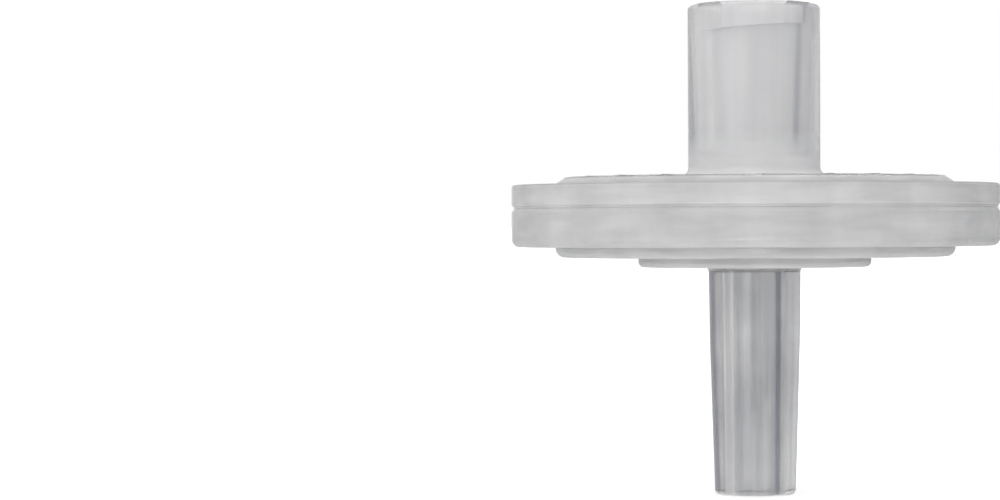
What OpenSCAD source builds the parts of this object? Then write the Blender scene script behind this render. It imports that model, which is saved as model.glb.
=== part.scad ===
// Syringe filter: two moulded polypropylene shells, welded at the rim around a membrane disc.
// Z is the flow axis. Liquid enters the Luer lock socket at the top, spreads over the membrane
// through the channels in the inlet shell, drains through the channels in the outlet shell and
// leaves at the end of the Luer slip spigot. Z = 0 is the spigot's tip. Sizes are millimetres.

/* [Rim] */
// Diameter over the welded rim
rim_d = 24; // [20:0.1:30]
// Rim height of the outlet shell, from its underside to the joint line
rim_low_h = 1.97; // [1.6:0.01:2.4]
// Rim height of the inlet shell, from the joint line to its top
rim_top_h = 1.09; // [0.9:0.01:1.4]
// Width of the ring outside the membrane seat, which holds the weld
weld_ring_w = 2.6; // [2.1:0.05:3.2]
// Width of the weld tongue under the inlet shell
tongue_w = 0.8; // [0.6:0.05:1]
// Height of the weld tongue
tongue_h = 0.45; // [0.3:0.01:0.6]
// Round on the inlet shell's edge at the joint line
joint_round = 0.16; // [0.05:0.01:0.2]
// Width of the bevel on the outlet shell's edge at the joint line
joint_bevel_w = 0.16; // [0.05:0.01:0.2]
// Height of that bevel
joint_bevel_h = 0.28; // [0.1:0.01:0.35]
// Round on the rim's upper edge
rim_top_round = 0.13; // [0.05:0.01:0.3]
// Round on the rim's lower edge
rim_low_round = 0.38; // [0.05:0.01:0.45]

/* [Plates] */
// Wall thickness of both plates over the filter chamber
wall = 0.95; // [0.7:0.01:1.2]
// Width of the ledge between the rim's edge and the inlet plate
top_ledge_w = 2.08; // [1.8:0.01:2.8]
// Height of the inlet plate above the rim
top_step_h = 0.38; // [0.3:0.01:0.5]
// Width of the bevel round the inlet plate
bevel_w = 0.58; // [0.2:0.01:0.8]
// Width of the ledge between the rim's edge and the outlet plate
low_ledge_w = 2.15; // [1.8:0.05:2.8]
// Depth of the outlet plate below the rim
low_step_h = 0.52; // [0.48:0.01:0.7]
// Round on the outlet plate's edge
low_plate_round = 0.46; // [0.05:0.01:0.47]
// Diameter of the boss round the outlet spigot
boss_d = 11.5; // [9:0.1:14]
// Depth of the boss below the outlet plate
boss_h = 0.5; // [0.4:0.01:0.65]
// Round on the boss's edge
boss_round = 0.28; // [0.05:0.01:0.35]

/* [Membrane] */
// Thickness of the membrane disc
membrane_t = 0.15; // [0.1:0.01:0.2]
// Depth of the membrane seat below the joint line
seat_depth = 0.32; // [0.27:0.01:0.4]
// Width of the ring that clamps the membrane's edge
clamp_w = 1.4; // [1:0.05:1.8]
// Radial play round the membrane and the weld tongue
side_play = 0.05; // [0.02:0.01:0.1]
// Play over the membrane and under the weld tongue
end_play = 0.02; // [0.01:0.01:0.05]

/* [Channels] */
// Number of radial channels
spoke_n = 8; // [4:4:12]
// Width of a radial channel
spoke_w = 0.9; // [0.7:0.05:1.1]
// Width of a concentric rib of the inlet shell
rib_w = 0.7; // [0.5:0.05:0.85]
// Width of a concentric land of the outlet shell
land_w = 0.58; // [0.45:0.01:0.7]
// Width of the ring channel between two ribs or two lands
ring_w = 0.55; // [0.45:0.05:0.7]
// Gap between the inlet shell's ribs and the membrane
rib_gap = 0.1; // [0.05:0.01:0.2]
// Depth of the outlet shell's shallow channels
drain_h = 0.2; // [0.1:0.01:0.5]
// First ring channel that is as deep as the central drains, counted inward from 0
deep_k = 3; // [1:1:4]

/* [Inlet hub] */
// Outside diameter of the hub
hub_d = 6.52; // [5.8:0.01:7.8]
// Height of the hub above the inlet plate
hub_h = 8.46; // [7.2:0.01:10.5]
// Diameter of the Luer socket at its mouth
socket_d = 4.3; // [3.8:0.01:4.8]
// Depth of the Luer socket
socket_h = 7.5; // [6.5:0.1:8.2]
// Round at the foot of the socket
socket_round = 0.3; // [0.1:0.01:0.5]
// Height of the lead-in bevel at the mouth
mouth_bevel = 0.12; // [0.05:0.01:0.3]
// Diameter of the port between the socket and the chamber
port_d = 2; // [1.2:0.05:2.6]
// Distance that each lock lug stands out from the hub
lug_reach = 0.64; // [0.4:0.01:0.8]
// Width of a lock lug at its end
lug_w = 3.2; // [2.6:0.05:3.8]
// Height of a lock lug at its middle
lug_h = 1.2; // [1:0.05:1.6]
// Rise of the lug's underside across its width
lug_rise = 0.2; // [0:0.05:0.7]
// Round on the lug's upright corners
lug_corner_r = 0.35; // [0.15:0.05:0.5]
// Round on the top edges of the hub and the lugs
hub_round = 0.24; // [0.05:0.01:0.3]
// Fillet between the hub and the inlet plate
hub_fillet = 0.48; // [0.1:0.01:0.6]

/* [Outlet spigot] */
// Length of the spigot below the boss
spigot_h = 11.2; // [9.2:0.05:13.45]
// Diameter of the spigot at its tip
tip_d = 4; // [3.6:0.01:4.8]
// Length of the tapered seal, from the tip
seal_h = 7.5; // [6:0.1:9]
// Gain in diameter for each millimetre of Luer taper
luer_taper = 0.06; // [0.05:0.005:0.07]
// Gain in diameter for each millimetre above the seal
shank_taper = 0.025; // [0.01:0.005:0.05]
// Diameter of the bore at the tip
bore_d = 2.05; // [1.4:0.05:2.3]
// Gain in the bore's diameter for each millimetre, as the core pin's draft
bore_draft = 0.012; // [0.004:0.001:0.03]
// Round on the tip's outer edge
tip_round = 0.22; // [0.05:0.01:0.3]
// Fillet between the spigot and the boss
spigot_fillet = 0.25; // [0.1:0.01:0.4]

/* [Hidden] */
$fn = 96;

// Overlap that fuses two shapes of one piece, and the overrun of a cut
lap = 0.05;
// Straight pieces in a rounded stretch of a profile
arc_n = 6;

// Heights, from the tip up
boss_z = spigot_h;
low_plate_z = boss_z + boss_h;
rim_low_z = low_plate_z + low_step_h;
joint_z = rim_low_z + rim_low_h;
rim_top_z = joint_z + rim_top_h;
plate_z = rim_top_z + top_step_h;
mouth_z = plate_z + hub_h;
seat_z = joint_z - seat_depth;
clamp_z = seat_z + membrane_t + end_play;
rib_z = clamp_z + rib_gap;
ceiling_z = plate_z - wall;
socket_z = mouth_z - socket_h;
drain_z = seat_z - drain_h;
deep_z = low_plate_z + wall;

// Radii
rim_r = rim_d / 2;
top_plate_r = rim_r - top_ledge_w;
low_plate_r = rim_r - low_ledge_w;
seat_r = rim_r - weld_ring_w;
membrane_r = seat_r - side_play;
chamber_r = seat_r - clamp_w;
tongue_r = (seat_r + rim_r) / 2;
hub_r = hub_d / 2;
lug_r = hub_r + lug_reach;
well_r = bore_d / 2 + ring_w;

// Ribs of the inlet shell and ring channels of the outlet shell, counted inward from the
// chamber's edge. The innermost rib clears the hub, and the innermost land is at least land_w.
spoke_a = 360 / spoke_n;
rib_pitch = rib_w + ring_w;
ring_pitch = land_w + ring_w;
function rib_r(k) = chamber_r - ring_w - rib_w / 2 - k * rib_pitch;
function ring_r(k) = chamber_r - ring_w / 2 - k * ring_pitch;
rib_n = floor((rib_r(0) - rib_w / 2 - hub_r - hub_fillet) / rib_pitch) + 1;
ring_n = floor((ring_r(0) - ring_w / 2 - land_w - well_r) / ring_pitch) + 1;

// Diameter that the spigot gains from its tip up to height z
function spigot_gain(z) = min(z, seal_h) * luer_taper + max(z - seal_h, 0) * shank_taper;
// Radius of the spigot's outside, and of its bore, at height z
function spigot_r(z) = (tip_d + spigot_gain(z)) / 2;
function bore_r(z) = (bore_d + z * bore_draft) / 2;

// Points of an arc about c, from angle a to angle b
function arc_point(c, r, a) = c + r * [cos(a), sin(a)];
function arc(c, r, a, b) = [for (i = [0:arc_n]) arc_point(c, r, a + (b - a) * i / arc_n)];

// The sliver between a square corner at p and the round that touches both its sides. It is
// added to fill an inside corner, and cut away to round an outside one. dir points to the
// round's centre.
module corner(p, r, dir) {
    difference() {
        translate([p.x + min(dir.x, 0) * r, p.y + min(dir.y, 0) * r])
            square(r);
        translate(p + r * dir)
            circle(r);
    }
}

// A step of a profile: a rectangle from the axis out to r, between two heights
module step(r, low, high) {
    translate([0, low])
        square([r, high - low]);
}

// A ring of a profile: a rectangle of width w about radius r, between two heights
module band(r, w, low, high) {
    translate([r - w / 2, low])
        square([w, high - low]);
}

// Half section of the inlet shell, without its socket
module inlet_profile() {
    difference() {
        union() {
            step(rim_r, joint_z, rim_top_z);
            step(membrane_r, clamp_z, joint_z + lap);
            band(tongue_r, tongue_w, joint_z - tongue_h, joint_z + lap);
            polygon([
                [0, rim_top_z - lap], [top_plate_r, rim_top_z - lap], [top_plate_r, rim_top_z],
                [top_plate_r - bevel_w, plate_z], [0, plate_z]
            ]);
            step(hub_r, plate_z - lap, mouth_z);
            corner([hub_r, plate_z], hub_fillet, [1, 1]);
        }
        step(chamber_r, clamp_z - lap, ceiling_z);
        corner([rim_r, joint_z], joint_round, [-1, 1]);
        corner([rim_r, rim_top_z], rim_top_round, [-1, -1]);
        corner([hub_r, mouth_z], hub_round, [-1, -1]);
    }
}

// Half section of the space inside the hub: the port, then the tapered socket
module socket_profile() {
    wall_a = atan(luer_taper / 2);
    floor_r = (socket_d - socket_h * luer_taper) / 2;
    foot_c = [
        floor_r + socket_round * tan(wall_a) - socket_round / cos(wall_a),
        socket_z + socket_round
    ];
    bevel_z = mouth_z - mouth_bevel;
    polygon(concat(
        [[0, ceiling_z - lap], [port_d / 2, ceiling_z - lap], [port_d / 2, socket_z]],
        arc(foot_c, socket_round, -90, -wall_a),
        [[(socket_d - mouth_bevel * luer_taper) / 2, bevel_z]],
        [[socket_d / 2 + mouth_bevel, mouth_z], [socket_d / 2 + mouth_bevel, mouth_z + lap]],
        [[0, mouth_z + lap]]
    ));
}

// Outline of one lock lug, pointing along +X: its flanks leave the hub as tangents
module lug_outline() {
    reach = lug_r - lug_corner_r + lap;
    half_a = asin((lug_w / 2 - lug_corner_r) / reach);
    flank_a = half_a + acos((hub_r - lug_corner_r) / reach);
    centre = reach * [cos(half_a), sin(half_a)];
    flank = [cos(flank_a), sin(flank_a)];
    for (side = [0, 1])
        mirror([0, side])
            union() {
                polygon([[0, 0], centre, centre + lug_corner_r * flank, hub_r * flank]);
                translate(centre)
                    circle(lug_corner_r);
                polygon([[0, 0], [lug_r + lap, 0], (lug_r + lap) * [1, tan(half_a)], centre]);
            }
}

// One lock lug, with its mid-height underside at z = 0. The underside climbs as the thread does.
module lug() {
    ramp_a = atan(lug_rise / lug_w);
    difference() {
        intersection() {
            translate([0, 0, -lug_rise])
                linear_extrude(lug_h + lug_rise)
                    lug_outline();
            rotate_extrude()
                difference() {
                    step(lug_r, -lug_rise, lug_h);
                    corner([lug_r, lug_h], hub_round, [-1, -1]);
                }
        }
        rotate([ramp_a, 0, 0])
            translate([0, -lug_w, -lug_h])
                cube([2 * lug_r, 2 * lug_w, lug_h]);
    }
}

// Outline of one arc of a concentric rib. It starts square beside the main spoke along +X and
// ends round beside the next spoke.
module rib_arc(r) {
    outer_r = r + rib_w / 2;
    inner_r = r - rib_w / 2;
    end_a = spoke_a - asin((spoke_w + rib_w) / 2 / r);
    piece_a = 180 / (arc_n + 2);
    polygon(concat(
        arc([0, 0], outer_r, asin(spoke_w / 2 / outer_r), end_a),
        arc(arc_point([0, 0], r, end_a), rib_w / 2, end_a + piece_a, end_a + 180 - piece_a),
        arc([0, 0], inner_r, end_a, asin(spoke_w / 2 / inner_r))
    ));
}

// Plan of the inlet shell's ribs
module rib_plan() {
    for (k = [0:rib_n - 1], main_a = [0:2 * spoke_a:359], side = [0, 1])
        rotate(main_a)
            mirror([0, side])
                rib_arc(rib_r(k));
}

// Ring channel k of the outlet shell, from its floor up to the seat
module ring_channel(k, floor_z) {
    rotate_extrude()
        band(ring_r(k), ring_w, floor_z, seat_z + lap);
}

// Radial channels of the outlet shell, from the well out to ring channel k
module spokes(k, floor_z) {
    for (a = [0:spoke_a:359])
        rotate(a)
            translate([0, -spoke_w / 2, floor_z])
                cube([ring_r(k), spoke_w, seat_z + lap - floor_z]);
}

// Half section of the outlet shell's plate and rim
module outlet_profile() {
    groove_w = tongue_w + 2 * side_play;
    difference() {
        union() {
            step(rim_r, rim_low_z, joint_z);
            step(low_plate_r, low_plate_z, rim_low_z + lap);
            step(boss_d / 2, boss_z, low_plate_z + lap);
        }
        step(seat_r, seat_z, joint_z + lap);
        band(tongue_r, groove_w, joint_z - tongue_h - end_play, joint_z + lap);
        polygon([
            [rim_r - joint_bevel_w, joint_z], [rim_r, joint_z - joint_bevel_h],
            [rim_r + lap, joint_z - joint_bevel_h], [rim_r + lap, joint_z + lap],
            [rim_r - joint_bevel_w, joint_z + lap]
        ]);
        corner([rim_r, rim_low_z], rim_low_round, [-1, 1]);
        corner([low_plate_r, low_plate_z], low_plate_round, [-1, 1]);
        corner([boss_d / 2, boss_z], boss_round, [-1, 1]);
    }
}

// Half section of the spigot, with its tip round and the fillet under the boss
module spigot_profile() {
    shank_a = atan(shank_taper / 2);
    fillet_c = [
        spigot_r(boss_z) - spigot_fillet * tan(shank_a) + spigot_fillet / cos(shank_a),
        boss_z - spigot_fillet
    ];
    polygon(concat(
        [[0, boss_z + lap], [0, 0]],
        arc([tip_d / 2 - tip_round, tip_round], tip_round, -90, 0),
        [[spigot_r(seal_h), seal_h]],
        arc(fillet_c, spigot_fillet, 180 - shank_a, 90),
        [[fillet_c.x, boss_z + lap]]
    ));
}

// Half section of the bore, with the well that gathers the drains above it
module bore_profile() {
    polygon([
        [0, -lap], [bore_r(-lap), -lap], [bore_r(deep_z - ring_w), deep_z - ring_w],
        [well_r, deep_z], [well_r, seat_z + lap], [0, seat_z + lap]
    ]);
}

module inlet_housing() {
    color([0.8, 0.81, 0.82, 0.6])
        difference() {
            union() {
                rotate_extrude()
                    inlet_profile();
                for (a = [90, 270])
                    rotate(a)
                        translate([0, 0, mouth_z - lug_h])
                            lug();
                translate([0, 0, rib_z])
                    linear_extrude(ceiling_z - rib_z + lap)
                        rib_plan();
            }
            rotate_extrude()
                socket_profile();
        }
}

module membrane() {
    color([0.97, 0.97, 0.96])
        translate([0, 0, seat_z])
            cylinder(h = membrane_t, r = membrane_r);
}

module outlet_housing() {
    color([0.76, 0.78, 0.8, 0.6])
        difference() {
            rotate_extrude()
                union() {
                    outlet_profile();
                    spigot_profile();
                }
            rotate_extrude()
                bore_profile();
            for (k = [0:ring_n - 1])
                ring_channel(k, k < deep_k ? drain_z : deep_z);
            spokes(0, drain_z);
            spokes(deep_k, deep_z);
        }
}

inlet_housing();
membrane();
outlet_housing();
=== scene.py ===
"""Looks of the syringe filter: frosted polypropylene shells, the membrane, and a plain print.

Everything is in metres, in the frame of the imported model: Z is the flow axis, and the outlet
spigot's tip stands on the floor at Z = 0. The two lock lugs point along +Y and -Y.
"""

import math
from collections import namedtuple

import bmesh
import bpy
from mathutils import Euler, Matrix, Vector


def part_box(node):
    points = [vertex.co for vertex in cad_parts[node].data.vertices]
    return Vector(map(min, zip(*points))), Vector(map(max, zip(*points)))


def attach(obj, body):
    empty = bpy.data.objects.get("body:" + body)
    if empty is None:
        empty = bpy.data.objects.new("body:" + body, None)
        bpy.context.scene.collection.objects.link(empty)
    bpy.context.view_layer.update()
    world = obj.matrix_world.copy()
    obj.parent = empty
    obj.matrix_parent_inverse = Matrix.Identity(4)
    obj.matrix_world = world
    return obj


MM = 0.001

# ---------------------------------------------------------------- values

# Share of the light that goes through the plastic, by place. The ribs are milky, and so stand out
# from the clear plate over them
DISC_CLEAR = 0.38
RIB_CLEAR = 0.1
PLATE_CLEAR = 0.92
HUB_CLEAR = 0.72
SPIGOT_CLEAR = 0.85
PP_IOR = 1.49

# Lowest and highest base colour of the plastic's clouds and marks, by place
DISC_TINTS = ((0.775, 0.775, 0.78, 1), (0.90, 0.90, 0.901, 1))
# The hub's tint also covers its milky foot, lighter than the disc's tint: there it is painted light
# against the shade the disc casts
HUB_TINTS = ((0.94, 0.94, 0.955, 1), (0.998, 0.998, 1.0, 1))
PLATE_TINTS = ((0.97, 0.97, 0.973, 1), (0.998, 0.998, 1.0, 1))
# Painted shade: the channels' ceilings are darkened in colour to stand in for the light that the air
# gap over the membrane holds back
CHANNEL_SHADE_TINTS = ((0.88, 0.88, 0.885, 1), (0.94, 0.94, 0.943, 1))
# Painted shade: the rim's flat top is darkened in colour, though its plastic is the same, to stand in
# for the light the thick rim loses
RIM_TOP_SHADE_TINTS = ((0.55, 0.55, 0.555, 1), (0.64, 0.64, 0.643, 1))
SPIGOT_TINTS = ((0.68, 0.684, 0.70, 1), (0.97, 0.971, 0.975, 1))

# Roughness of the satin mould surface, lowest and highest, and of the polished surfaces of the
# inlet plate and of the spigot
SATIN = (0.10, 0.16)
PLATE_GLOSS = 0.03
SPIGOT_GLOSS = 0.12

# Patterns of the plastic: scale in cycles a metre, and its share along each axis where it differs.
# Then the range of the clouds and streaks together that turns into tint, and height and strength
# of the grain's bump
CLOUD_SCALE = 450
CLOUD_STRETCH = (1, 1, 0.6)
LEVEL_STREAK_SCALE = 1800
LEVEL_STREAK_STRETCH = (0.2, 0.2, 1)
UPRIGHT_STREAK_SCALE = 2600
UPRIGHT_STREAK_STRETCH = (1, 1, 0.02)
SATIN_SCALE = 1500
GRAIN_SCALE = 9000
MARK_RANGE = (0.8, 1.2)
GRAIN_HEIGHT = 0.004 * MM
GRAIN_STRENGTH = 0.6

# Where noise mostly lies. A tint takes the narrower span of its own noise for more contrast
NOISE_SPAN = (0.3, 0.7)
MOTTLE_SPAN = (0.35, 0.65)
WEAR_SPAN = (0.35, 0.7)

# Zones of the plastic. EDGE is the width of a sharp change from one finish to the next. Then come
# the inlet plate's thickness over its channels, how far the zone of the plate and its ribs reaches
# below the joint line and past the plate's flat top, and how far above the plate the hub's milky
# foot starts to clear and is clear
EDGE = 0.05 * MM
PLATE_WALL = 0.95 * MM
WINDOW_DEPTH = 0.25 * MM
BEVEL_CLEAR = 0.14 * MM
HUB_FOOT = 0.75 * MM
HUB_CLEARED = 2.35 * MM

# The membrane's colours and roughness, lowest and highest, and its mottle's scale and height
FILM_TINTS = ((0.92, 0.92, 0.91, 1), (0.98, 0.98, 0.97, 1))
FILM_ROUGH = (0.75, 0.9)
MOTTLE_SCALE = 2500
MOTTLE_HEIGHT = 0.01 * MM

# The ink's colours and roughness, lowest and highest, the scale of its wear, and its shine
INK_TINTS = ((0.012, 0.012, 0.014, 1), (0.03, 0.03, 0.032, 1))
INK_ROUGH = (0.4, 0.6)
WEAR_SCALE = 4000
INK_SHINE = 0.15

# The weld's bead of squeezed-out plastic in the joint's groove: radius of its round section, how
# far its middle lies inside the rim's wall, and its swells, each with the number of waves round
# the joint, the share of the radius and the phase
BEAD_R = 0.09 * MM
BEAD_INSET = 0.16 * MM
BEAD_SWELLS = ((7, 0.12, 0), (17, 0.08, 1))
BEAD_AROUND = 360
BEAD_ACROSS = 10

# The print on the inlet plate, arcs of plain ticks on a base line: margin to the plate's edge,
# width of the band, line width, and how far the ink stands above the plate and soaks in
PRINT_MARGIN = 0.34 * MM
PRINT_BAND = 1.7 * MM
STROKE = 0.28 * MM
INK_ABOVE = 0.025 * MM
INK_BELOW = 0.01 * MM

# The arcs' names, middles and spans in degrees, and numbers of ticks. Every fourth tick is as long
# as the band, and the rest reach a share of it. The base line is made of short straight steps
PRINT_ARCS = (("print_right", 0, 133, 33), ("print_left", 180, 124, 29))
LONG_TICK_EVERY = 4
SHORT_TICK = 0.55
ARC_STEPS = 64

# Where the CAD's levels are read: radii that clear the hub and the spigot, how far in from the
# rim's wall the rim's top is met, and what counts as level
OUTSIDE_HUB = 5 * MM
OUTSIDE_SPIGOT = 4 * MM
RIM_SEEN = 1 * MM
LEVEL = 0.001 * MM

# Camera: distance, height, then yaw, pitch and roll in degrees, focal length, and near and far end
CAMERA_AWAY = 151.6 * MM
CAMERA_HEIGHT = 13.3 * MM
CAMERA_YAW = 4.76
CAMERA_PITCH = -0.46
CAMERA_ROLL = -0.24
CAMERA_LENS = 110
CAMERA_CLIP = (0.001, 50)

# Brightness of the studio towards the camera's side, behind the part, above and below it, and
# what its left and right sides add
LIGHT_FRONT = 1.1
LIGHT_BACK = 0.56
LIGHT_TOP = 1.2
LIGHT_LOW = 1.95
LIGHT_LEFT = 0.02
LIGHT_RIGHT = -0.22

# Soft spots in the studio behind the part: direction in degrees to the right of straight
# behind, inner and outer radius in degrees, and colour
DARK_SPOT = (66, 9, 24, (0.09, 0.10, 0.145, 1))
LIGHT_SPOT = (-11, 3, 9, (0.82, 0.82, 0.83, 1))

# The floor: radius in metres, sides, colours, the scale of their change in cycles a metre,
# roughness and glow
FLOOR_R = 20
FLOOR_SIDES = 96
FLOOR_TINTS = ((0.90, 0.90, 0.90, 1), (0.92, 0.92, 0.92, 1))
FLOOR_SCALE = 3
FLOOR_ROUGH = 0.9
FLOOR_GLOW = 0.45

WHITE = (1, 1, 1, 1)

# How often light may bounce, so that it gets out of the clear plastic again
BOUNCES = 32

Levels = namedtuple("Levels", "boss_z joint_z rim_z plate_z plate_r")
Zones = namedtuple("Zones", "spigot hub above_plate rim_top window plate channels")


# ---------------------------------------------------------------- node helpers

def node(tree, kind, inputs=None, **settings):
    """Adds a node. Each input is a number, a colour or another node's output socket."""
    made = tree.nodes.new(kind)
    for name, value in settings.items():
        setattr(made, name, value)
    for name, value in (inputs or {}).items():
        if isinstance(value, bpy.types.NodeSocket):
            tree.links.new(value, made.inputs[name])
        else:
            made.inputs[name].default_value = value
    return made


def new_material(name):
    """A material with a Principled shader, and the object coordinates that its patterns use."""
    made = bpy.data.materials.new(name)
    made.use_nodes = True
    tree = made.node_tree
    shader = tree.nodes["Principled BSDF"]
    place = node(tree, "ShaderNodeTexCoord").outputs["Object"]
    return made, tree, shader, place


def noise(tree, place, scale, detail=3.0, roughness=0.5, stretch=(1, 1, 1)):
    """Noise from 0 to 1, with scale times stretch cycles a metre along each axis. Detail is its
    number of finer octaves, and roughness is how strong they are."""
    scaled = node(tree, "ShaderNodeMapping", {"Vector": place, "Scale": stretch})
    made = node(tree, "ShaderNodeTexNoise", {
        "Vector": scaled.outputs["Vector"], "Scale": scale, "Detail": detail, "Roughness": roughness,
    })
    return made.outputs["Fac"]


def ranged(tree, value, from_low, from_high, low, high, kind="LINEAR"):
    """Carries value from one range to another, and stays inside the second one."""
    made = node(tree, "ShaderNodeMapRange", {
        "Value": value, "From Min": from_low, "From Max": from_high, "To Min": low, "To Max": high,
    }, interpolation_type=kind)
    return made.outputs["Result"]


def blended(tree, share, low, high):
    """From low to high as share goes from 0 to 1."""
    return ranged(tree, share, 0, 1, low, high)


def beyond(tree, value, start):
    """From 0 to 1 over one EDGE from start."""
    return ranged(tree, value, start, start + EDGE, 0, 1)


def short_of(tree, value, start):
    """From 1 to 0 over one EDGE from start."""
    return ranged(tree, value, start, start + EDGE, 1, 0)


def maths(tree, operation, a, b):
    return node(tree, "ShaderNodeMath", {0: a, 1: b}, operation=operation).outputs[0]


def vector_maths(tree, operation, a, b, output="Vector"):
    made = node(tree, "ShaderNodeVectorMath", {0: a, 1: b}, operation=operation)
    return made.outputs[output]


def mixed(tree, share, a, b):
    """Colour a, turning into colour b as share goes from 0 to 1. A share outside that is cut."""
    made = node(tree, "ShaderNodeMix", data_type="RGBA")
    for socket, value in ((made.inputs[0], share), (made.inputs[6], a), (made.inputs[7], b)):
        if isinstance(value, bpy.types.NodeSocket):
            tree.links.new(value, socket)
        else:
            socket.default_value = value
    return made.outputs[2]


def bump(tree, height, distance, strength=1.0):
    made = node(tree, "ShaderNodeBump", {"Height": height, "Distance": distance, "Strength": strength})
    return made.outputs["Normal"]


# ---------------------------------------------------------------- materials

def plastic_zones(tree, place, levels):
    """The shells' places by height and radius, each as a number that is 1 there and 0 or less
    elsewhere. Faces that lie exactly at a limit, such as the plate's top, are inside their zone."""
    height = node(tree, "ShaderNodeSeparateXYZ", {"Vector": place}).outputs["Z"]
    flat = vector_maths(tree, "MULTIPLY", place, (1, 1, 0))
    radius = vector_maths(tree, "LENGTH", flat, (0, 0, 0), "Value")
    window_r = levels.plate_r + BEVEL_CLEAR
    ceiling_z = levels.plate_z - PLATE_WALL

    inside = ranged(tree, radius, window_r - EDGE, window_r + EDGE, 1, 0)
    below_top = short_of(tree, height, levels.plate_z + EDGE)
    under_top = maths(tree, "MULTIPLY", inside, below_top)
    window = maths(tree, "MULTIPLY", under_top, beyond(tree, height, levels.joint_z - WINDOW_DEPTH))
    plate = maths(tree, "MULTIPLY", under_top, beyond(tree, height, ceiling_z - 2 * EDGE))
    # The channels' ceilings, which get painted shade
    channels = maths(tree, "SUBTRACT", plate, beyond(tree, height, ceiling_z + EDGE))

    # Where the rim's flat top gets painted shade, fading out up the plate's bevel
    outside = maths(tree, "SUBTRACT", beyond(tree, height, levels.rim_z - 2 * EDGE), inside)
    up_bevel = ranged(tree, height, levels.rim_z + EDGE, levels.plate_z + EDGE, 0, 1)
    rim_top = maths(tree, "SUBTRACT", outside, up_bevel)

    # Everything above the plate takes the hub's lighter tint, which paints light onto the hub's shaded
    # milky foot
    above_plate = maths(tree, "SUBTRACT", 1.0, below_top)
    foot_z, cleared_z = levels.plate_z + HUB_FOOT, levels.plate_z + HUB_CLEARED
    hub = ranged(tree, height, foot_z, cleared_z, 0, 1, "SMOOTHSTEP")
    spigot = short_of(tree, height, levels.boss_z - 2 * EDGE)
    return Zones(spigot, hub, above_plate, rim_top, window, plate, channels)


def plastic_clearness(tree, zones):
    """Share of the light that goes through."""
    clear = blended(tree, zones.window, DISC_CLEAR, RIB_CLEAR)
    clear = blended(tree, zones.plate, clear, PLATE_CLEAR)
    clear = blended(tree, zones.hub, clear, HUB_CLEAR)
    return blended(tree, zones.spigot, clear, SPIGOT_CLEAR)


def plastic_tint(tree, place, zones):
    """Clouds everywhere, with level streaks in the disc and upright ones in the hub and spigot."""
    clouds = noise(tree, place, CLOUD_SCALE, 4, stretch=CLOUD_STRETCH)
    level_streaks = noise(tree, place, LEVEL_STREAK_SCALE, 3, stretch=LEVEL_STREAK_STRETCH)
    upright_streaks = noise(tree, place, UPRIGHT_STREAK_SCALE, 4, 0.6, UPRIGHT_STREAK_STRETCH)
    upright = maths(tree, "MAXIMUM", zones.spigot, zones.hub)
    streaks = blended(tree, upright, level_streaks, upright_streaks)
    share = ranged(tree, maths(tree, "ADD", clouds, streaks), *MARK_RANGE, 0, 1)
    tint = mixed(tree, share, *DISC_TINTS)
    # The rim's top and the channels' ceilings take painted shade here, and the hub's tint gives its
    # milky foot painted light
    for zone, tints in (
        (zones.rim_top, RIM_TOP_SHADE_TINTS),
        (zones.window, PLATE_TINTS),
        (zones.channels, CHANNEL_SHADE_TINTS),
        (zones.above_plate, HUB_TINTS),
        (zones.spigot, SPIGOT_TINTS),
    ):
        tint = mixed(tree, zone, tint, mixed(tree, share, *tints))
    return tint


def plastic_roughness(tree, place, zones):
    """Satin with faint patches, and polished on the inlet plate and the spigot."""
    satin = ranged(tree, noise(tree, place, SATIN_SCALE, 2), *NOISE_SPAN, *SATIN)
    gloss = blended(tree, zones.plate, satin, PLATE_GLOSS)
    return blended(tree, zones.spigot, gloss, SPIGOT_GLOSS)


def polypropylene(name, levels):
    """Natural polypropylene: milky in the welded disc and the ribs, clearer in the hub and the
    spigot, and clearest in the inlet plate, with the mould's fine grain."""
    made, tree, shader, place = new_material(name)
    zones = plastic_zones(tree, place, levels)
    tree.links.new(plastic_clearness(tree, zones), shader.inputs["Transmission Weight"])
    tree.links.new(plastic_tint(tree, place, zones), shader.inputs["Base Color"])
    tree.links.new(plastic_roughness(tree, place, zones), shader.inputs["Roughness"])
    grain = noise(tree, place, GRAIN_SCALE, 2)
    tree.links.new(bump(tree, grain, GRAIN_HEIGHT, GRAIN_STRENGTH), shader.inputs["Normal"])
    shader.inputs["IOR"].default_value = PP_IOR
    return made


def membrane_film():
    """White porous film, matt, with a faint fibrous mottle."""
    made, tree, shader, place = new_material("membrane_film")
    mottle = noise(tree, place, MOTTLE_SCALE, 6, 0.65)
    share = ranged(tree, mottle, *MOTTLE_SPAN, 0, 1)
    tree.links.new(mixed(tree, share, *FILM_TINTS), shader.inputs["Base Color"])
    tree.links.new(ranged(tree, mottle, *NOISE_SPAN, *FILM_ROUGH), shader.inputs["Roughness"])
    tree.links.new(bump(tree, mottle, MOTTLE_HEIGHT), shader.inputs["Normal"])
    return made


def ink():
    """Black pad-print ink, slightly uneven."""
    made, tree, shader, place = new_material("print_ink")
    wear = noise(tree, place, WEAR_SCALE)
    share = ranged(tree, wear, *WEAR_SPAN, 0, 1)
    tree.links.new(mixed(tree, share, *INK_TINTS), shader.inputs["Base Color"])
    tree.links.new(ranged(tree, wear, *NOISE_SPAN, *INK_ROUGH), shader.inputs["Roughness"])
    shader.inputs["Specular IOR Level"].default_value = INK_SHINE
    return made


# ---------------------------------------------------------------- pieces

def mesh_object(name, mesh, material):
    """Turns a bmesh into an object with one material, and frees it."""
    data = bpy.data.meshes.new(name)
    mesh.to_mesh(data)
    mesh.free()
    data.materials.append(material)
    made = bpy.data.objects.new(name, data)
    bpy.context.scene.collection.objects.link(made)
    return made


def bridged(mesh, one, other):
    """Joins two rings of points with a band of faces."""
    n = len(one)
    for k in range(n):
        mesh.faces.new((one[k], other[k], other[(k + 1) % n], one[(k + 1) % n]))


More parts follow.
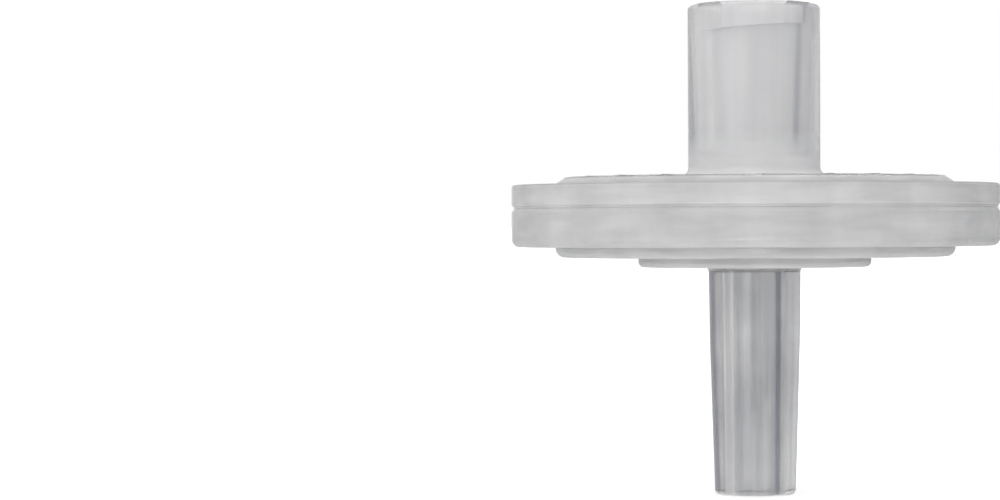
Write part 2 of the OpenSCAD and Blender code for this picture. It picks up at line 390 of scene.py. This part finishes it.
def weld_bead(material, levels):
    """The uneven bead that the weld squeezes out into the groove between the two shells."""
    middle_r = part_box("outlet_housing")[1].x - BEAD_INSET
    mesh = bmesh.new()
    rings = []
    for i in range(BEAD_AROUND):
        a = 2 * math.pi * i / BEAD_AROUND
        swell = 1 + sum(share * math.sin(waves * a + phase) for waves, share, phase in BEAD_SWELLS)
        ring = []
        for k in range(BEAD_ACROSS):
            b = 2 * math.pi * k / BEAD_ACROSS
            r = middle_r + BEAD_R * swell * math.cos(b)
            z = levels.joint_z + BEAD_R * math.sin(b)
            ring.append(mesh.verts.new((r * math.cos(a), r * math.sin(a), z)))
        rings.append(ring)
    for one, other in zip(rings, rings[1:] + rings[:1]):
        bridged(mesh, one, other)
    bmesh.ops.recalc_face_normals(mesh, faces=mesh.faces)
    for face in mesh.faces:
        face.smooth = True
    made = mesh_object("weld_bead", mesh, material)
    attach(made, "root")


def arc_bar(mesh, radii, heights, angles, steps):
    """Adds a flat bar between two radii, two heights and two angles to a bmesh."""
    low_r, high_r = radii
    low_z, high_z = heights
    corners = ((low_r, low_z), (high_r, low_z), (high_r, high_z), (low_r, high_z))
    rings = []
    for i in range(steps + 1):
        a = angles[0] + (angles[1] - angles[0]) * i / steps
        flat = Vector((math.cos(a), math.sin(a), 0))
        rings.append([mesh.verts.new(flat * r + Vector((0, 0, z))) for r, z in corners])
    for one, other in zip(rings, rings[1:]):
        bridged(mesh, one, other)
    mesh.faces.new(rings[0])
    mesh.faces.new(rings[-1][::-1])


def print_arc(name, middle, span, tick_n, levels, material):
    """An arc of radial ticks on a base line, as one piece of ink. Angles are in degrees."""
    out_r = levels.plate_r - PRINT_MARGIN
    in_r = out_r - PRINT_BAND
    heights = (levels.plate_z - INK_BELOW, levels.plate_z + INK_ABOVE)
    start, end = math.radians(middle - span / 2), math.radians(middle + span / 2)
    half_stroke = STROKE / 2 / out_r
    mesh = bmesh.new()
    arc_bar(mesh, (in_r, in_r + STROKE), heights, (start, end), ARC_STEPS)
    for i in range(tick_n):
        a = start + (end - start) * i / (tick_n - 1)
        tip_r = out_r if i % LONG_TICK_EVERY == 0 else in_r + SHORT_TICK * PRINT_BAND
        arc_bar(mesh, (in_r + STROKE, tip_r), heights, (a - half_stroke, a + half_stroke), 1)
    bmesh.ops.recalc_face_normals(mesh, faces=mesh.faces)
    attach(mesh_object(name, mesh, material), "root")


def points(frame, name, outside_r):
    """A CAD node's points that lie outside a radius."""
    return [v.co for v in frame["nodes"][name].data.vertices if v.co.xy.length > outside_r]


def cad_levels(frame):
    """Heights of the boss's underside, the joint line, the rim's top and the inlet plate's top, and
    the radius of the plate's flat top, read from the CAD nodes."""
    rim_r, joint_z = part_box("outlet_housing")[1].x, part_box("outlet_housing")[1].z
    boss_z = min(v.z for v in points(frame, "outlet_housing", OUTSIDE_SPIGOT))
    rim_z = max(v.z for v in points(frame, "inlet_housing", rim_r - RIM_SEEN))
    plate = points(frame, "inlet_housing", OUTSIDE_HUB)
    plate_z = max(v.z for v in plate)
    plate_r = max(v.xy.length for v in plate if v.z > plate_z - LEVEL)
    return Levels(boss_z, joint_z, rim_z, plate_z, plate_r)


# ---------------------------------------------------------------- stage

def camera():
    """The camera stands just below the joint line, close to the part, which is right of the
    picture's middle."""
    data = bpy.data.cameras.new("camera")
    data.lens = CAMERA_LENS
    data.clip_start, data.clip_end = CAMERA_CLIP
    made = bpy.data.objects.new("camera", data)
    bpy.context.scene.collection.objects.link(made)
    made.location = (0, -CAMERA_AWAY, CAMERA_HEIGHT)
    aim = Euler((math.radians(90 + CAMERA_PITCH), 0, math.radians(CAMERA_YAW))).to_matrix()
    roll = Euler((0, 0, math.radians(CAMERA_ROLL))).to_matrix()
    made.rotation_euler = (aim @ roll).to_euler()
    bpy.context.scene.camera = made


def floor():
    """A wide white floor. Only the camera sees it, and reflections and the clear plastic show the
    studio instead. It still casts a shadow, so it holds back some of the light from below."""
    material, tree, shader, place = new_material("floor_paint")
    tint = mixed(tree, noise(tree, place, FLOOR_SCALE), *FLOOR_TINTS)
    tree.links.new(tint, shader.inputs["Base Color"])
    shader.inputs["Roughness"].default_value = FLOOR_ROUGH
    shader.inputs["Specular IOR Level"].default_value = 0.0
    shader.inputs["Emission Color"].default_value = WHITE
    shader.inputs["Emission Strength"].default_value = FLOOR_GLOW
    mesh = bmesh.new()
    bmesh.ops.create_circle(mesh, cap_ends=True, radius=FLOOR_R, segments=FLOOR_SIDES)
    made = mesh_object("floor", mesh, material)
    made.visible_diffuse = False
    made.visible_glossy = False
    made.visible_transmission = False


def spotted(tree, way, colour, spot):
    """The studio's colour with one soft spot in it."""
    azimuth, inner, outer, spot_colour = spot
    a = math.radians(azimuth)
    near = vector_maths(tree, "DOT_PRODUCT", way, (math.sin(a), math.cos(a), 0), "Value")
    edges = math.cos(math.radians(outer)), math.cos(math.radians(inner))
    share = ranged(tree, near, *edges, 0, 1, "SMOOTHSTEP")
    return mixed(tree, share, colour, spot_colour)


def studio():
    """Soft light all round: strong from the camera's side, from above and most from below, grey
    behind the part, and dimmer on the right. The camera itself sees plain white."""
    made = bpy.data.worlds.new("studio")
    bpy.context.scene.world = made
    made.use_nodes = True
    tree = made.node_tree
    way = node(tree, "ShaderNodeTexCoord").outputs["Generated"]
    toward = node(tree, "ShaderNodeSeparateXYZ", {"Vector": way}).outputs
    middle = (LIGHT_FRONT + LIGHT_BACK) / 2
    level = ranged(tree, toward["Y"], -1, 1, LIGHT_FRONT, LIGHT_BACK)
    for axis, low, high in (
        ("Z", LIGHT_LOW - middle, LIGHT_TOP - middle),
        ("X", LIGHT_LEFT, LIGHT_RIGHT),
    ):
        level = maths(tree, "ADD", level, ranged(tree, toward[axis], -1, 0, low, 0))
        level = maths(tree, "ADD", level, ranged(tree, toward[axis], 0, 1, 0, high))
    colour = node(tree, "ShaderNodeCombineXYZ", {"X": level, "Y": level, "Z": level}).outputs[0]
    for spot in (DARK_SPOT, LIGHT_SPOT):
        colour = spotted(tree, way, colour, spot)
    light = tree.nodes["Background"]
    tree.links.new(colour, light.inputs["Color"])
    white = node(tree, "ShaderNodeBackground", {"Color": WHITE})
    seen = node(tree, "ShaderNodeLightPath").outputs["Is Camera Ray"]
    both = node(tree, "ShaderNodeMixShader", {0: seen, 1: light.outputs[0], 2: white.outputs[0]})
    tree.links.new(both.outputs[0], tree.nodes["World Output"].inputs["Surface"])


def render_settings():
    """Plain colours, and light paths long enough for the clear plastic."""
    scene = bpy.context.scene
    scene.view_settings.view_transform = "Standard"
    scene.cycles.max_bounces = BOUNCES
    scene.cycles.transmission_bounces = BOUNCES
    scene.cycles.glossy_bounces = BOUNCES
    scene.cycles.diffuse_bounces = BOUNCES


# ---------------------------------------------------------------- the scene

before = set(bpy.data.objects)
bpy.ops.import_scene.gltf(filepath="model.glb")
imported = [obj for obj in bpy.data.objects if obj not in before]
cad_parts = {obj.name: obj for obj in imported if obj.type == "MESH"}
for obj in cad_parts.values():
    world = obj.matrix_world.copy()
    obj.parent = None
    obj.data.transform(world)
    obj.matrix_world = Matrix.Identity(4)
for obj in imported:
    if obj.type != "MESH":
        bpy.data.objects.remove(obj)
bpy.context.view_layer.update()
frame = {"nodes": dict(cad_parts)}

camera()
studio()
floor()
render_settings()

levels = cad_levels(frame)
plastic_in = polypropylene("inlet_plastic", levels)
plastic_out = polypropylene("outlet_plastic", levels)
film = membrane_film()
for name, material in (
    ("inlet_housing", plastic_in),
    ("outlet_housing", plastic_out),
    ("membrane", film),
):
    frame["nodes"][name].data.materials[0] = material

weld_bead(plastic_out, levels)
ink_material = ink()
for name, middle, span, tick_n in PRINT_ARCS:
    print_arc(name, middle, span, tick_n, levels, ink_material)
